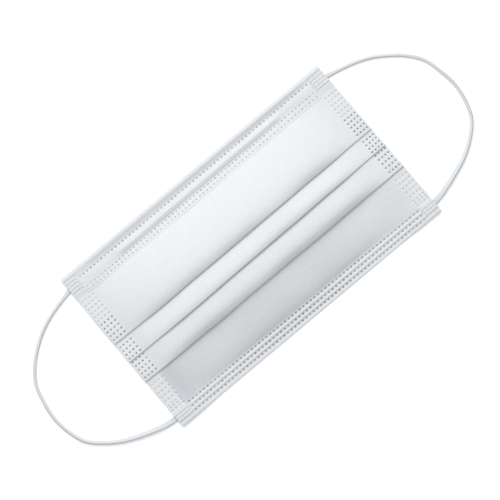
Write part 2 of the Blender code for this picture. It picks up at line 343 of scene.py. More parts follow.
def cloth_rows():
    starts = (PANEL_EDGE, *UNDER_NOSE_HEM, RISE_START, NOSE_HEM)
    rows = [ClothRow(0, 0, down, None) for down in starts]
    half_turn = (LOOSE_PITCH + CLOTH) / 2
    start = NOSE_HEM + HEM_GAP
    for index, fold in enumerate(FOLDS):
        lip = fold.line - half_turn
        rows += layer_rows(index, 0, start, lip - LIP_GAP)
        if lip - rows[-1].down > WIDE_GAP:
            rows.append(ClothRow(index, 0, (rows[-1].down + lip) / 2, None))
        rows.append(ClothRow(index, 0, lip, None))
        rows += [ClothRow(index, 0, lip, angle) for angle in TURN_ANGLES]
        tuck = fold.tuck + half_turn
        rows.append(ClothRow(index, 1, lip, None))
        rows += reversed(layer_rows(index, 1, tuck + TUCK_GAP, lip - TUCK_GAP, 2))
        rows.append(ClothRow(index, 1, tuck, None))
        rows += [ClothRow(index, 1, tuck, angle) for angle in TURN_ANGLES]
        rows.append(ClothRow(index, 2, tuck, None))
        rows += layer_rows(index, 2, tuck + TUCK_GAP, lip - BACK_GAP)
        start = fold.line + FOLD_GAP
    rows.append(ClothRow(len(FOLDS), 0, start + BACK_GAP, None))
    rows += layer_rows(len(FOLDS), 0, start + TUCK_GAP, CHIN_START - CHIN_GAP)
    ends = (CHIN_START, MASK_HEIGHT - UNDER_CHIN_HEM, MASK_HEIGHT - PANEL_EDGE)
    return rows + [ClothRow(len(FOLDS), 0, down, None) for down in ends]


def cloth_point(row, share):
    """The middle of the cloth in this row, as (down, up, shade, weld)."""
    up = layer_up(row.index, row.depth, row.down, share)
    down = row.down
    if row.down <= RISE_START or row.down >= CHIN_START:
        up = 0.0
    elif row.depth == 0 and row.down > NOSE_HEM:
        up += billow(share, down)
    if row.angle is not None:
        below = layer_up(row.index, row.depth + 1, row.down, share)
        side = 1 if row.depth == 0 else -1
        turned = math.radians(row.angle)
        up = (up + below) / 2 + (up - below) / 2 * math.cos(turned)
        down += side * pitch(share) / 2 * math.sin(turned)
    if share in (0, 1):
        up -= RIM_DROP
    wander = LINE_WAVE * wave(share, down * LINE_WAVES, LINE_SEED) * loose(share)
    return down - drift(down, share) - wander, up, crease_shade(row, share), 0.0


def column_shares(bands, loose_columns, split=False):
    """The shares of the width where columns meet: the left band's, the free cloth's, the right's.

    split halves the cells of the bands' dots."""
    sides = []
    for band in bands:
        halves = [(a + b) / 2 for a, b in zip(band[1:], band[2:])] if split else []
        sides.append(sorted(band + halves))
    left, right = sides[0], [MASK_WIDTH - x for x in reversed(sides[1])]
    step = (right[0] - left[-1]) / loose_columns
    free = [left[-1] + step * column for column in range(1, loose_columns)]
    return [x / MASK_WIDTH for x in left + free + right]


def new_cloth(shares, rows, point_at):
    """A sheet with a column at each share of the width and a row for each of the rows.

    point_at gives a point's (down, up, shade, weld). Returns the open bmesh and its faces by
    (row, column)."""
    bm = bmesh.new()
    for name in ("weld", "shade"):
        bm.verts.layers.float.new(name)
    columns, count = len(shares) - 1, len(rows) - 1
    bmesh.ops.create_grid(bm, x_segments=columns, y_segments=count, size=1)
    weld, shade = (bm.verts.layers.float[name] for name in ("weld", "shade"))
    cells = {}
    for face in bm.faces:
        centre = (face.calc_center_median() + Vector((1, 1, 0))) / 2
        cells[count - 1 - int(centre.y * count), int(centre.x * columns)] = face
    for vert in bm.verts:
        column = round((vert.co.x + 1) / 2 * columns)
        row = count - round((vert.co.y + 1) / 2 * count)
        down, up, vert[shade], vert[weld] = point_at(rows[row], shares[column])
        vert.co = place(shares[column], down, up)
    return bm, cells


def sink_dots(bm, faces, powers, dot):
    """Presses a round weld dot with a soft rim into each face. A power of 1 is a full weld."""
    weld = bm.verts.layers.float["weld"]
    for size, fall, dark in ((dot.rim, dot.rim_fall, 0.0), (dot.radius, 1.0, 1.0)):
        bmesh.ops.inset_individual(bm, faces=faces, thickness=INSET, depth=0)
        for face, power in zip(faces, powers):
            centre = face.calc_center_median()
            a, b, c, d = (vert.co.copy() for vert in face.verts)
            along = (a + b - c - d).normalized() * size
            across = (b + c - d - a).normalized() * size
            for vert, (one, two) in zip(face.verts, ((1, -1), (1, 1), (-1, 1), (-1, -1))):
                vert.co = centre + along * one + across * two
                vert.co.z -= dot.depth * fall * (LIGHT_PRESS + (1 - LIGHT_PRESS) * power)
                vert[weld] = dark * power


def add_piece(bm, name, material):
    """Makes the bmesh a smooth piece that rides on the mask."""
    mesh = bpy.data.meshes.new(name)
    bm.to_mesh(mesh)
    bm.free()
    mesh.shade_smooth()
    mesh.materials.append(material)
    piece = bpy.data.objects.new(name, mesh)
    bpy.context.scene.collection.objects.link(piece)
    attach(piece, "root")
    return piece


def finish_cloth(bm, name, material):
    """Makes the bmesh a piece, rounded and given its wall."""
    piece = add_piece(bm, name, material)
    rounding = piece.modifiers.new("rounding", "SUBSURF")
    rounding.levels = rounding.render_levels = 1
    rounding.boundary_smooth = "PRESERVE_CORNERS"
    wall = piece.modifiers.new("wall", "SOLIDIFY")
    wall.thickness = CLOTH
    wall.offset = 0
    wall.use_even_offset = True
    return piece


def add_node(tree, kind, inputs=(), **settings):
    """Adds a shader node. Each input is (socket, value), where a value may be another's output."""
    made = tree.nodes.new(kind)
    for name, value in settings.items():
        setattr(made, name, value)
    for socket, value in inputs:
        if isinstance(value, bpy.types.NodeSocket):
            tree.links.new(value, made.inputs[socket])
        else:
            made.inputs[socket].default_value = value
    return made


def maths(tree, operation, *values, clamped=False):
    made = add_node(tree, "ShaderNodeMath", list(enumerate(values)), operation=operation)
    made.use_clamp = clamped
    return made.outputs[0]


def new_noise(tree, vector, scale, detail):
    made = add_node(
        tree, "ShaderNodeTexNoise", [("Vector", vector), ("Scale", scale), ("Detail", detail)]
    )
    return made.outputs["Fac"]


def stretched(tree, position, scale, turn=0.0):
    """Coordinates turned about Z and then scaled by a triple."""
    settings = [("Vector", position), ("Rotation", (0, 0, turn)), ("Scale", scale)]
    return add_node(tree, "ShaderNodeMapping", settings).outputs[0]


def new_group(name, inputs, outputs):
    """An empty shader node group with number sockets, and its two ends."""
    tree = bpy.data.node_groups.new(name, "ShaderNodeTree")
    for socket in inputs:
        tree.interface.new_socket(socket, in_out="INPUT", socket_type="NodeSocketFloat")
    for socket in outputs:
        tree.interface.new_socket(socket, in_out="OUTPUT", socket_type="NodeSocketFloat")
    given = tree.nodes.new("NodeGroupInput").outputs
    return tree, given, tree.nodes.new("NodeGroupOutput").inputs


def nonwoven_group():
    """Spunbonded cloth: fine fibres that lie every way, faint streaks across, and bond points."""
    tree, given, out = new_group("nonwoven", ["Fibre", "Bond"], ["Tone", "Height"])
    position = add_node(tree, "ShaderNodeTexCoord").outputs["Object"]
    webs = [
        new_noise(
            tree, stretched(tree, position, (FIBRE_LENGTHWISE, fine, FIBRE_DEEP), turn), 1.0, 3.0
        )
        for turn, fine in WEBS
    ]
    fibres = maths(tree, "MAXIMUM", maths(tree, "MAXIMUM", webs[0], webs[1]), webs[2])
    cloud = new_noise(tree, position, CLOUD_SCALE, 3.0)
    streaks = new_noise(tree, stretched(tree, position, STREAK_SCALE), 1.0, 2.0)
    axes = add_node(tree, "ShaderNodeSeparateXYZ", [("Vector", position)]).outputs
    across = maths(tree, "SINE", maths(tree, "MULTIPLY", axes["X"], 2 * math.pi / BOND_ACROSS))
    along = maths(tree, "SINE", maths(tree, "MULTIPLY", axes["Y"], 2 * math.pi / BOND_ALONG))
    lattice = maths(tree, "SUBTRACT", maths(tree, "MULTIPLY", across, along), BOND_START)
    bonds = maths(tree, "MULTIPLY", lattice, BOND_GAIN, clamped=True)
    web = maths(tree, "SUBTRACT", fibres, FIBRE_MEAN)
    for part, share in ((cloud, CLOUD_SHARE), (streaks, STREAK_SHARE)):
        centred = maths(tree, "SUBTRACT", part, 0.5)
        web = maths(tree, "ADD", web, maths(tree, "MULTIPLY", centred, share))
    web = maths(tree, "MULTIPLY", web, given["Fibre"])
    pressed = maths(tree, "MULTIPLY", maths(tree, "MULTIPLY", bonds, given["Bond"]), BOND_PRESS)
    height = maths(tree, "ADD", web, pressed)
    tree.links.new(maths(tree, "ADD", height, 0.5), out["Tone"])
    tree.links.new(height, out["Height"])
    return tree


nonwoven = nonwoven_group()


def mixed(tree, factor, first, second):
    """A colour between two colours or outputs."""
    made = add_node(tree, "ShaderNodeMix", [(0, factor)], data_type="RGBA")
    for socket, value in ((made.inputs[6], first), (made.inputs[7], second)):
        if isinstance(value, bpy.types.NodeSocket):
            tree.links.new(value, socket)
        else:
            socket.default_value = (*value, 1)
    return made.outputs[2]


def new_material(name):
    """A material, its node tree and the inputs of its shader."""
    material = bpy.data.materials.new(name)
    material.use_nodes = True
    return material, material.node_tree, material.node_tree.nodes["Principled BSDF"].inputs


def add_relief(tree, shader, height, strength, distance):
    relief = add_node(
        tree,
        "ShaderNodeBump",
        [("Height", height), ("Strength", strength), ("Distance", distance)],
    )
    tree.links.new(relief.outputs["Normal"], shader["Normal"])


def cloth_material(name, film):
    """White spunbonded cloth, whose weld dots are pressed to a darker and smoother film, with painted
    shade from its shade attribute.
    """
    material, tree, shader = new_material(name)
    shader["Specular IOR Level"].default_value = 0.25
    shader["Sheen Weight"].default_value = 0.1
    shader["Sheen Roughness"].default_value = 0.6
    group = add_node(tree, "ShaderNodeGroup", [("Fibre", 0.8), ("Bond", 0.35)], node_tree=nonwoven)
    cloth = group.outputs
    weld = add_node(tree, "ShaderNodeAttribute", attribute_name="weld").outputs["Fac"]
    shade = add_node(tree, "ShaderNodeAttribute", attribute_name="shade").outputs["Fac"]
    face = mixed(tree, cloth["Tone"], *CLOTH_TONES)
    # painted shade: the shade attribute darkens the cloth's colour in creases and hollows
    painted_shaded = mixed(tree, shade, face, PAINTED_SHADE_TONE)
    tree.links.new(mixed(tree, weld, painted_shaded, film), shader["Base Color"])
    rough = maths(tree, "SUBTRACT", 0.85, maths(tree, "MULTIPLY", weld, 0.4))
    tree.links.new(rough, shader["Roughness"])
    add_relief(tree, shader, cloth["Height"], 0.4, 0.05 * MM)
    return material


def dot_rows(rows):
    """The cloth's rows that hold weld dots, as (row, depth of the layer, how strong the weld is)."""
    found = []
    for row, (one, two) in enumerate(zip(rows, rows[1:])):
        same = (one.index, one.depth) == (two.index, two.depth)
        if not same or one.angle or two.angle or one.depth == 1:
            continue
        centre = (one.down + two.down) / 2
        near = min(abs(centre - down) for down in UPPER_ROWS + LOWER_ROWS) < SAME_PLACE
        if near and abs(one.down - two.down) < WELD_CELL * CELL_ROUNDING:
            layered = FOLDS[0].tuck - WELD_CELL / 2 < centre < FOLDS[-1].line
            found.append((row, one.depth, 1.0 if layered else FAINT_WELD))
    return found


shares = column_shares(BANDS, LOOSE_COLUMNS)
dot_columns = len(BANDS.left) - 2
last_column = len(shares) - 2
band_columns = [*range(1, dot_columns + 1), *range(last_column - dot_columns, last_column)]
rows = cloth_rows()
bm, cells = new_cloth(shares, rows, cloth_point)
spread = random.Random(4)
dot_behind = BAND_DOT._replace(depth=-BAND_DOT.depth)
for row, depth, strength in dot_rows(rows):
    dots = [cells[row, column] for column in band_columns]
    powers = [strength * spread.uniform(*BAND_SPREAD) for _ in dots]
    sink_dots(bm, dots, powers, BAND_DOT if depth == 0 else dot_behind)
panel_cloth = cloth_material("panel cloth", PANEL_FILM)
panel = finish_cloth(bm, "pleated_panel_cloth", panel_cloth)
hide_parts("pleated_panel")

# The upper hem: the inner ply comes round the nose edge, covers the wire and is welded down in
# three rows of dots, two of them below the wire. At the corners the dots of five more lines
# stand so close that the cloth puffs up in ridges between them.
HEM_PRESS = 0.6
WIRE_DROP = 0.75 * MM  # the wire lies this far below the middle of its channel
WIRE_LIFT = 0.46 * MM
WIRE_ROOM = 0.6 * MM
WIRE_MIDDLE = 8.4 * MM  # from the nose edge, before the hem's lines drift
WIRE_FADE = 2.5 * MM
# painted shade at the feet of the wire's two ridges
WIRE_SHADE = 0.16
# The hem's lines run nearer the edge towards the right, HEM_DRIFT at most. Up to PAST_EDGE they
# have only the share EDGE_DRIFT of that. Past the wire it grows with the square of the width's
# share, and it dies out over DRIFT_FADE before the hem's raw edge.
HEM_DRIFT = 1.7 * MM
EDGE_DRIFT = 0.6
PAST_EDGE = 6 * MM
PAST_EDGE_FADE = 3 * MM
PAST_WIRE = 10.6 * MM
PAST_WIRE_FADE = 0.4 * MM
DRIFT_FADE = 2.4 * MM
HEM_TURN = 4 * MM  # nearer the edge than this the hem turns round it, and doesn't drift or wave
HEM_WAVE = 0.07 * MM
HEM_WAVES_ACROSS = 2
HEM_WAVES_DOWN = 300
HEM_SEED = 8.3
HEM_COLUMNS = 65
NOSE_DOT = Dot(0.72 * MM, 0.62 * MM, 0.32 * MM, 0.1)
NOSE_BANDS = Bands(
    [0.0, 0.3 * MM, 2.1 * MM, 3.9 * MM, 5.8 * MM, 7.65 * MM],
    [0.0, 0.3 * MM, 2.2 * MM, 4.35 * MM, 6.6 * MM, 9.75 * MM],
)
LINE_WELD = 0.4  # how strongly the lines of the corners are welded
LINE_WEAK = 0.3  # the share of that which is left between one dot and the next
LINE_SPREAD = (0.7, 1.1)
HEM_SPREAD = (0.75, 1.25)
EDGE_POWER = 0.75  # how strong a dot is in the row above the wire
WIRE_POWER = 0.25  # in the row just below it, at the left
RAW_POWER = 0.15  # in the row beside the raw edge, at the left
RAW_ROW = 13 * MM
POWER_GAIN = 0.3  # how much stronger those two rows are away from the left corner
POWER_RISE = 6  # they gain it over the first sixth of the width
HEM_FILM = (0.22, 0.24, 0.27)
wire_low, wire_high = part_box("nose_wire")
wire_size = wire_high - wire_low

# The rows of the hem from its raw edge round to the underside. "middle" and "corner" are the
# distances from the nose edge there, and "up" and "corner_up" the heights. "lift" is how far the
# wire lifts the row, in units of WIRE_LIFT, "dots" says that dots stand between this row and the
# next, and "line" that a welded line of a corner runs along this row.
HemRow = namedtuple("HemRow", "middle up corner corner_up lift dots line")
NOSE_ROWS = (
    HemRow(15.40 * MM, -0.20 * MM, 14.60 * MM, -0.10 * MM, 0, False, False),
    HemRow(14.90 * MM, 0.14 * MM, 14.30 * MM, 0.16 * MM, 0, False, False),
    HemRow(14.45 * MM, 0.30 * MM, 13.50 * MM, 0.30 * MM, 0, True, False),
    HemRow(12.95 * MM, 0.44 * MM, 12.10 * MM, 0.50 * MM, 0, False, False),
    HemRow(12.70 * MM, 0.52 * MM, 11.30 * MM, 0.90 * MM, 0, False, False),
    HemRow(12.45 * MM, 0.52 * MM, 10.46 * MM, 0.16 * MM, 0, True, True),
    HemRow(11.05 * MM, 0.52 * MM, 9.56 * MM, 1.60 * MM, 0, False, False),
    HemRow(10.60 * MM, 0.52 * MM, 8.75 * MM, 0.16 * MM, 0, False, True),
    HemRow(10.26 * MM, 0.58 * MM, 7.76 * MM, 1.60 * MM, 1.2, False, False),
    HemRow(9.68 * MM, 0.62 * MM, 6.86 * MM, 0.16 * MM, 0.45, False, True),
    HemRow(9.30 * MM, 0.68 * MM, 5.87 * MM, 1.60 * MM, 1.4, False, False),
    HemRow(8.60 * MM, 0.70 * MM, 5.06 * MM, 0.16 * MM, 1.2, False, True),
    HemRow(6.36 * MM, 0.58 * MM, 4.00 * MM, 1.60 * MM, 0.1, True, False),
    HemRow(4.86 * MM, 0.36 * MM, 3.10 * MM, 0.46 * MM, 0, False, True),
    HemRow(2.08 * MM, 1.42 * MM, 2.08 * MM, 1.42 * MM, 0, False, False),
    HemRow(1.90 * MM, 1.55 * MM, 1.90 * MM, 1.52 * MM, 0, False, False),
    HemRow(1.70 * MM, 1.55 * MM, 1.70 * MM, 1.53 * MM, 0, False, False),
    HemRow(0.90 * MM, 1.46 * MM, 0.90 * MM, 1.46 * MM, 0, False, False),
    HemRow(0.22 * MM, 1.36 * MM, 0.22 * MM, 1.38 * MM, 0, False, False),
    HemRow(0.00 * MM, 1.02 * MM, 0.00 * MM, 1.02 * MM, 0, False, False),
    HemRow(0.00 * MM, 0.40 * MM, 0.00 * MM, 0.40 * MM, 0, False, False),
    HemRow(0.60 * MM, 0.12 * MM, 0.60 * MM, 0.12 * MM, 0, False, False),
    HemRow(1.15 * MM, 0.10 * MM, 1.15 * MM, 0.10 * MM, 0, False, False),
)
RAW_EDGE = NOSE_ROWS[1].middle
WIRE_FEET = (NOSE_ROWS[7], NOSE_ROWS[9])  # the rows at the feet of the wire's two ridges


def hem_press(share):
    return HEM_PRESS + (1 - HEM_PRESS) * loose(share)


def hem_drift(share, down):
    """How far the hem's lines are shifted towards the nose edge."""
    past_edge = smooth((down - PAST_EDGE) / PAST_EDGE_FADE)
    past_wire = smooth((down - PAST_WIRE) / PAST_WIRE_FADE)
    part = EDGE_DRIFT + (1 - EDGE_DRIFT) * past_edge
    fade = smooth((RAW_EDGE - down) / DRIFT_FADE)
    return HEM_DRIFT * share ** (1 + past_wire) * part * fade


def line_weld(row, share, bands):
    """How strongly a corner is welded at this point of its dotted lines."""
    if not row.line:
        return 0.0
    from_side = min(share, 1 - share) * MASK_WIDTH
    on_edge = min(abs(from_side - x) for x in nearer(bands, share)) < SAME_PLACE
    return LINE_WELD * spread.uniform(*LINE_SPREAD) * (LINE_WEAK if on_edge else 1)


def nose_hem_point(row, share):
    if inward(share, NOSE_BANDS) < -SAME_PLACE:
        weld = line_weld(row, share, NOSE_BANDS)
        return row.corner, row.corner_up * hem_press(share), 0.0, weld
    past_wire = abs(share - 0.5) * MASK_WIDTH - wire_size.x / 2 - WIRE_ROOM
    over_wire = 1 - smooth(past_wire / WIRE_FADE)
    down, up = row.middle, row.up * hem_press(share) + WIRE_LIFT * row.lift * over_wire
    if row.middle > RISE_START:
        up += panel_level(0, row.middle, share)
    if row.middle > HEM_TURN:
        up += HEM_WAVE * wave(share * HEM_WAVES_ACROSS, row.middle * HEM_WAVES_DOWN, HEM_SEED)
        down -= hem_drift(share, down)
    # painted shade along the feet of the wire's ridges
    shade = WIRE_SHADE * over_wire if row in WIRE_FEET else 0.0
    return down, up, shade, 0.0


def weld_hem(bm, cells, rows, shares, dot, power_at):
    """Presses the hem's dots between its corners. power_at gives how strong one is at a share."""
    band = 2 * len(BANDS.left) - 3
    for row, hem_row in enumerate(rows):
        if hem_row.dots:
            columns = range(band, len(shares) - 1 - band)
            powers = [
                power_at(shares[column], hem_row) * spread.uniform(*HEM_SPREAD) for column in columns
            ]
            sink_dots(bm, [cells[row, column] for column in columns], powers, dot)


def nose_power(share, row):
    """The edge row is welded hardest. The others fade out towards the left corner."""
    if row.middle < WIRE_MIDDLE:
        return EDGE_POWER
    at_left = RAW_POWER if row.middle > RAW_ROW else WIRE_POWER
    return at_left + POWER_GAIN * smooth(share * POWER_RISE)


shares = column_shares(NOSE_BANDS, HEM_COLUMNS, split=True)
bm, cells = new_cloth(shares, NOSE_ROWS, nose_hem_point)
bmesh.ops.reverse_faces(bm, faces=bm.faces)
weld_hem(bm, cells, NOSE_ROWS, shares, NOSE_DOT, nose_power)
hem_cloth = cloth_material("hem cloth", HEM_FILM)
nose_hem = finish_cloth(bm, "nose_hem_fold", hem_cloth)
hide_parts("nose_hem")

# The nose wire: a flat plastic strip with two fine steel cores, which lies loose in its channel
# under the upper hem and can be pinched to the wearer's nose.
WIRE_WEB = 0.3 * MM
WIRE_CORE = 0.15 * MM  # how far the plastic stands up over a core
CORE_PLACE = 0.28  # how far each core lies from the middle, as a share of the width
CORE_BREADTH = 0.1  # over this share of it the plastic sinks back beside a core
WIRE_WIDTH = 2.3 * MM
CUTS_ACROSS = 7
CUTS_ALONG = 23
WIRE_TONES = ((0.68, 0.69, 0.71), (0.8, 0.81, 0.83))
DRAWN_SCALE = (30, 4000, 4000)  # per metre, so the lines run along the wire
bm = bmesh.new()
bmesh.ops.create_cube(bm, size=1)
bmesh.ops.scale(bm, vec=(wire_size.x, WIRE_WIDTH, WIRE_WEB), verts=bm.verts)
for axis, length, cuts in ((1, WIRE_WIDTH, CUTS_ACROSS), (0, wire_size.x, CUTS_ALONG)):
    spans = [(edge, abs(edge.verts[0].co[axis] - edge.verts[1].co[axis])) for edge in bm.edges]
    edges = [edge for edge, span in spans if span > length / 2]
    bmesh.ops.subdivide_edges(bm, edges=edges, cuts=cuts, use_grid_fill=True)
for vert in bm.verts:
    way = abs(vert.co.y) / WIRE_WIDTH
    core = math.exp(-(((way - CORE_PLACE) / CORE_BREADTH) ** 2))
    vert.co.z += math.copysign(WIRE_CORE, vert.co.z) * core
bmesh.ops.bevel(
    bm,
    geom=[edge for edge in bm.edges if edge.calc_face_angle(0) > 1],
    offset=WIRE_WEB / 4,
    segments=2,
    profile=0.5,
    affect="EDGES",
    material=-1,
)
for vert in bm.verts:
    vert.co.x += (wire_low.x + wire_high.x) / 2
    share = vert.co.x / MASK_WIDTH + 0.5
    vert.co.y += MASK_HEIGHT / 2 - WIRE_MIDDLE + hem_drift(share, WIRE_MIDDLE)
    vert.co.z += (wire_low.z + wire_high.z) / 2 - WIRE_DROP


def coated_wire_material():
    """Satin white plastic with faint drawing lines along it."""
    material, tree, shader = new_material("coated wire")
    position = add_node(tree, "ShaderNodeTexCoord").outputs["Object"]
    lines = new_noise(tree, stretched(tree, position, DRAWN_SCALE), 1.0, 2.0)
    tree.links.new(mixed(tree, lines, *WIRE_TONES), shader["Base Color"])
    rough = maths(tree, "ADD", maths(tree, "MULTIPLY", lines, 0.2), 0.3)
    tree.links.new(rough, shader["Roughness"])
    add_relief(tree, shader, lines, 0.2, 0.02 * MM)
    return material


wire = add_piece(bm, "nose_wire_strip", coated_wire_material())
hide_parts("nose_wire")

# The lower hem: the same fold along the chin edge, without a wire. Its three rows of dots stand
# close together, and the cloth puffs up in a ridge between one row and the next.
CHIN_COLUMNS = 63
CHIN_DRIFT = 0.7 * MM  # the rows run this much nearer the edge at the right
# Painted shade in the rows that stand lower than VALLEY_TOP. START_SHADE counts for the
# first ones, VALLEY_SHADE for the others, and MIDDLE_SHADE is added in the middle of the edge.
VALLEY_SHADE = 0.10
START_SHADE = 0.36
MIDDLE_SHADE = 0.16
VALLEY_TOP = 0.45 * MM
# the welds are hottest at HOT_MIDDLE, and the painted shade of the low rows is deepest there
HOT_MIDDLE = 0.46  # the share of the width where the welds are hottest
HOT_REACH = 0.24
COLD_POWER = 0.6  # how strong a dot is at the ends of the edge
CHIN_DOT = Dot(0.78 * MM, 0.68 * MM, 0.28 * MM, 0.12)
CHIN_ROWS = (
    HemRow(8.80 * MM, 0.10 * MM, 8.75 * MM, 0.04 * MM, 0, False, False),
    HemRow(8.26 * MM, 0.38 * MM, 7.95 * MM, 0.16 * MM, 0, True, True),
    HemRow(6.70 * MM, 0.42 * MM, 6.90 * MM, 1.60 * MM, 0, False, False),
    HemRow(6.05 * MM, 0.96 * MM, 5.90 * MM, 0.16 * MM, 0, False, True),
    HemRow(5.42 * MM, 0.40 * MM, 5.00 * MM, 1.60 * MM, 0, True, False),
    HemRow(3.86 * MM, 0.40 * MM, 4.10 * MM, 0.16 * MM, 0, False, True),
    HemRow(3.30 * MM, 0.96 * MM, 3.15 * MM, 1.60 * MM, 0, False, False),
    HemRow(2.74 * MM, 0.40 * MM, 2.20 * MM, 0.16 * MM, 0, True, True),
    HemRow(1.16 * MM, 0.40 * MM, 1.30 * MM, 0.60 * MM, 0, False, False),
    HemRow(0.80 * MM, 0.42 * MM, 0.70 * MM, 0.62 * MM, 0, False, False),
    HemRow(0.22 * MM, 0.45 * MM, 0.22 * MM, 0.62 * MM, 0, False, False),
    HemRow(0.02 * MM, 0.42 * MM, 0.02 * MM, 0.50 * MM, 0, False, False),
    HemRow(0.02 * MM, 0.20 * MM, 0.02 * MM, 0.20 * MM, 0, False, False),
    HemRow(0.60 * MM, 0.12 * MM, 0.60 * MM, 0.12 * MM, 0, False, False),
    HemRow(1.15 * MM, 0.10 * MM, 1.15 * MM, 0.10 * MM, 0, False, False),
)
FIRST_VALLEY = CHIN_ROWS[2].middle  # only the rows nearer the panel than this are the first ones
LAST_VALLEY = CHIN_ROWS[8].middle  # from here on the hem turns round the edge


def middle_of_edge(share):
    """1 in the middle of the chin edge, where the welds are hottest and the painted shade is deepest,
    and 0 at its ends.
    """
    return math.exp(-(((share - HOT_MIDDLE) / HOT_REACH) ** 2))


def chin_power(share, row):
    return COLD_POWER + (1 - COLD_POWER) * middle_of_edge(share)


def chin_hem_point(row, share):
    if inward(share) < -SAME_PLACE:
        weld = line_weld(row, share, BANDS)
        return MASK_HEIGHT - row.corner, row.corner_up * hem_press(share), 0.0, weld
    shade = 0.0
    if row.up < VALLEY_TOP and row.middle > LAST_VALLEY:
        start = row.middle > FIRST_VALLEY
        shade = (START_SHADE if start else VALLEY_SHADE) + MIDDLE_SHADE * middle_of_edge(share)
    down = MASK_HEIGHT - row.middle + CHIN_DRIFT * (share - 0.5) * smooth(row.middle / MM)
    return down, row.up * hem_press(share), shade, 0.0


shares = column_shares(BANDS, CHIN_COLUMNS, split=True)
bm, cells = new_cloth(shares, CHIN_ROWS, chin_hem_point)
weld_hem(bm, cells, CHIN_ROWS, shares, CHIN_DOT, chin_power)
chin_hem = finish_cloth(bm, "chin_hem_fold", hem_cloth)
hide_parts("chin_hem")

# The ear loops: flat knitted elastic, welded flat under the corners of the mask. Between its
# welded ends each loop lies on the table on one of its edges, tilted by up to about 30 degrees,
# and is drawn narrow past the chin weld.
TAPE_SECTION = 1.75e-6  # the area, which stays the same where the tape is drawn narrow
TAPE_STEP = 0.8 * MM
TAPE_SIDES = 16
TAPE_ROUND = (0.75, 0.6)  # across and in depth: below 1 the section is squarer than an ellipse
TOUCHING = 0.01 * MM
CURVE_STEPS = 40
CORD_UP = 1.05 * MM
RIB_PITCH = 0.58 * MM
COURSE_PITCH = 0.55 * MM
RIB_SLANT = 0.1 * MM
# Painted shade along both edges of the tape: how far in it starts and how fast it grows
EDGE_START = 0.8  # the share of the half width where the tape's darker edge starts
EDGE_GAIN = 4.5
TAPE_TONES = ((0.56, 0.57, 0.59), (0.76, 0.77, 0.785))
# the colour of the painted shade at the tape's edges
PAINTED_EDGE_SHADE = (0.26, 0.28, 0.32)
RIGHT_ROUTE = (
    (87.2, -45.0), (89.9, -44.4), (93.9, -43.6), (98.2, -42.3), (107.1, -39.4), (115.8, -35.9),
    (124.1, -30.5), (131.2, -23.2), (134.8, -13.6), (135.9, -3.4), (134.5, 6.6), (131.9, 16.0),
    (126.1, 23.9), (119.0, 30.0), (111.4, 35.0), (103.2, 38.4), (94.9, 40.7), (88.5, 42.1),
    (85.9, 42.6),
)
LEFT_ROUTE = (
    (-87.3, -44.9), (-90.1, -44.6), (-95.4, -43.8), (-99.8, -42.5), (-108.5, -39.6),
    (-117.2, -35.8), (-125.4, -30.3), (-132.6, -23.1), (-136.2, -13.5), (-137.4, -3.4),
    (-136.1, 6.6), (-133.4, 16.1), (-127.7, 23.9), (-120.6, 30.1), (-112.9, 35.1),
    (-104.8, 38.5), (-96.4, 40.8), (-90.0, 42.2), (-87.3, 42.7),
)
# How far the tape is tilted off the table, in degrees, at shares of its free length.
Roll = namedtuple("Roll", "share degrees")
ROLLS = (
    Roll(0, 0), Roll(0.03, 14), Roll(0.1, 30), Roll(0.25, 28), Roll(0.5, 32), Roll(0.66, 8),
    Roll(0.8, -18), Roll(0.94, -10), Roll(1, 0),
)
# How wide it is there. It is widest where it is welded, above all at the chin.
Wide = namedtuple("Wide", "share width")
WIDTHS = (
    Wide(0, 2.9 * MM), Wide(0.08, 2.6 * MM), Wide(0.28, 1.9 * MM), Wide(0.45, 1.65 * MM),
    Wide(0.92, 1.65 * MM), Wide(1, 2.3 * MM),
)


def between(table, share):
    """The value at this share of the way, along smooth steps between a table's rows."""
    for (start, low), (end, high) in zip(table, table[1:]):
        if share <= end:
            return low + (high - low) * smooth((share - start) / (end - start))
    return table[-1][1]


def smooth_route(points, step):
    """Evenly spaced points on a smooth curve through the points.

    A point's handles run along the line between its neighbours, a sixth of it each way."""
    last = len(points) - 1
    tangents = [(points[min(i + 1, last)] - points[max(i - 1, 0)]) / 6 for i in range(last + 1)]
    dense = [points[0]]
    for i in range(last):
        handles = (points[i] + tangents[i], points[i + 1] - tangents[i + 1])
        dense += geometry.interpolate_bezier(points[i], *handles, points[i + 1], CURVE_STEPS)[1:]
    lengths = [(b - a).length for a, b in zip(dense, dense[1:])]
    count = round(sum(lengths) / step)
    even, walked = [dense[0]], 0.0
    for length, point in zip(lengths, dense[1:]):
        walked += length
        if walked >= sum(lengths) / count * len(even) and len(even) < count:
            even.append(point)
    return even + [dense[-1]]


def tape_points(route, rolls, widths):
    """The middle of the tape along its route, as high as it stands when it is turned so far."""
    points = []
    for step, point in enumerate(route):
        share = step / (len(route) - 1)
        width, turned = between(widths, share), math.radians(between(rolls, share))
        stands = (width * abs(math.sin(turned)) + TAPE_SECTION / width * math.cos(turned)) / 2
        points.append(Vector((point.x, point.y, stands)))
    return points


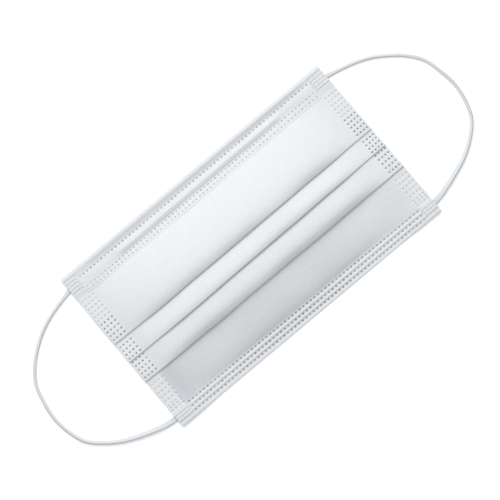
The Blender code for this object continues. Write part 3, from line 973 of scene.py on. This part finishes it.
def new_tape(name, points, rolls, widths, material):
    """A flat knitted tape along the points, with rounded edges and closed ends."""
    bm = bmesh.new()
    rings = len(points) - 1
    bmesh.ops.create_grid(bm, x_segments=rings, y_segments=TAPE_SIDES, size=1)
    wale = bm.verts.layers.float.new("across")
    course = bm.verts.layers.float.new("along")
    for vert in bm.verts:
        ring = round((vert.co.x + 1) / 2 * rings)
        angle = (vert.co.y + 1) * math.pi
        ahead = points[min(ring + 1, rings)] - points[max(ring - 1, 0)]
        level = Vector((ahead.y, -ahead.x, 0)).normalized()
        turned = math.radians(between(rolls, ring / rings))
        wide = between(widths, ring / rings)
        upright = level.cross(ahead.normalized())
        width = level * math.cos(turned) + upright * math.sin(turned)
        depth = upright * math.cos(turned) - level * math.sin(turned)
        x = math.copysign(abs(math.cos(angle)) ** TAPE_ROUND[0], math.cos(angle))
        y = math.copysign(abs(math.sin(angle)) ** TAPE_ROUND[1], math.sin(angle))
        vert.co = points[ring] + width * x * wide / 2 + depth * y * TAPE_SECTION / wide / 2
        vert[wale] = x * WIDTHS[0].width / 2
        vert[course] = ring * TAPE_STEP
    bmesh.ops.remove_doubles(bm, verts=bm.verts, dist=TOUCHING)
    bmesh.ops.holes_fill(bm, edges=[edge for edge in bm.edges if edge.is_boundary], sides=0)
    bmesh.ops.recalc_face_normals(bm, faces=bm.faces)
    return add_piece(bm, name, material)


def elastic_material():
    """White knitted elastic: fine ribs along the tape, crossed by its courses of loops, with painted
    shade along both edges.
    """
    material, tree, shader = new_material("elastic tape")
    shader["Specular IOR Level"].default_value = 0.25
    shader["Sheen Weight"].default_value = 0.15
    across = add_node(tree, "ShaderNodeAttribute", attribute_name="across").outputs["Fac"]
    along = add_node(tree, "ShaderNodeAttribute", attribute_name="along").outputs["Fac"]
    ribs = maths(tree, "COSINE", maths(tree, "MULTIPLY", across, 2 * math.pi / RIB_PITCH))
    slant = maths(tree, "ADD", along, maths(tree, "MULTIPLY", ribs, RIB_SLANT))
    loops = maths(tree, "COSINE", maths(tree, "MULTIPLY", slant, 2 * math.pi / COURSE_PITCH))
    knit = maths(tree, "MULTIPLY", maths(tree, "ADD", ribs, maths(tree, "MULTIPLY", loops, 0.6)), 0.3)
    tone = maths(tree, "ADD", knit, 0.5, clamped=True)
    face = mixed(tree, tone, *TAPE_TONES)
    # painted shade: the colour darkens towards both edges of the tape
    out = maths(tree, "DIVIDE", maths(tree, "ABSOLUTE", across), WIDTHS[0].width / 2)
    past = maths(tree, "SUBTRACT", out, EDGE_START)
    edge = maths(tree, "MULTIPLY", past, EDGE_GAIN, clamped=True)
    tree.links.new(mixed(tree, edge, face, PAINTED_EDGE_SHADE), shader["Base Color"])
    shader["Roughness"].default_value = 0.8
    add_relief(tree, shader, knit, 0.6, 0.08 * MM)
    return material


elastic = elastic_material()
for side, route in (("right", RIGHT_ROUTE), ("left", LEFT_ROUTE)):
    outward = 1 if side == "right" else -1
    rolls = [Roll(roll.share, roll.degrees * outward) for roll in ROLLS]
    line = smooth_route([Vector((x * MM, y * MM, CORD_UP)) for x, y in route], TAPE_STEP)
    points = tape_points(line, rolls, WIDTHS)
    loop = new_tape(f"ear_loop_{side}_tape", points, rolls, WIDTHS, elastic)
    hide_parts(f"ear_loop_{side}")
    ends = (("chin", points[0], points[1], WIDTHS[0]), ("nose", points[-1], points[-2], WIDTHS[-1]))
    for edge, outlet, ahead, wide in ends:
        low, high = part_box(f"loop_end_{side}_{edge}")
        inner = Vector((low.x if side == "right" else high.x, outlet.y, outlet.z))
        flat_end = smooth_route([inner, (inner + outlet) / 2, outlet * 2 - ahead, outlet], TAPE_STEP)
        flat, even = (Roll(0, 0), Roll(1, 0)), (Wide(0, wide.width), Wide(1, wide.width))
        end = new_tape(f"loop_end_{side}_{edge}_tape", flat_end, flat, even, elastic)
        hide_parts(f"loop_end_{side}_{edge}")

# The white table that the mask lies on, a large soft lamp beyond its nose edge, and the camera
# straight above it.
TABLE_SIZE = 3
bpy.ops.mesh.primitive_plane_add(size=TABLE_SIZE)
table = bpy.context.object
table.name = "table"
paper, _, shader = new_material("white table")
shader["Base Color"].default_value = (0.98, 0.98, 0.98, 1)
shader["Roughness"].default_value = 0.9
shader["Specular IOR Level"].default_value = 0.1
shader["Emission Color"].default_value = (1, 1, 1, 1)
shader["Emission Strength"].default_value = 0.1
table.data.materials.append(paper)

FRAME_WIDTH = 262.2 * MM
CAMERA_HEIGHT = 1.5
CAMERA_TURN = -39.9
CAMERA_OVER = (-2.1 * MM, -1.84 * MM)
camera = bpy.data.objects.new("camera", bpy.data.cameras.new("camera"))
camera.location = (*CAMERA_OVER, CAMERA_HEIGHT)
camera.rotation_euler = (0, 0, math.radians(CAMERA_TURN))
camera.data.lens = camera.data.sensor_width * CAMERA_HEIGHT / FRAME_WIDTH
bpy.context.scene.collection.objects.link(camera)
bpy.context.scene.camera = camera

KEY_PLACE = Vector((0.30, 1.15, 1.15))
KEY_SIZE = 1.3
KEY_POWER = 23
key = bpy.data.objects.new("key lamp", bpy.data.lights.new("key lamp", "AREA"))
key.data.size = KEY_SIZE
key.data.energy = KEY_POWER
key.location = KEY_PLACE
key.rotation_euler = (-KEY_PLACE).to_track_quat("-Z", "Y").to_euler()
bpy.context.scene.collection.objects.link(key)

world = bpy.data.worlds.new("soft room")
world.use_nodes = True
background = world.node_tree.nodes["Background"].inputs
background["Color"].default_value = (0.955, 0.98, 1.0, 1)
background["Strength"].default_value = 0.6
bpy.context.scene.world = world
bpy.context.scene.view_settings.view_transform = "Standard"
bpy.context.scene.view_settings.look = "None"
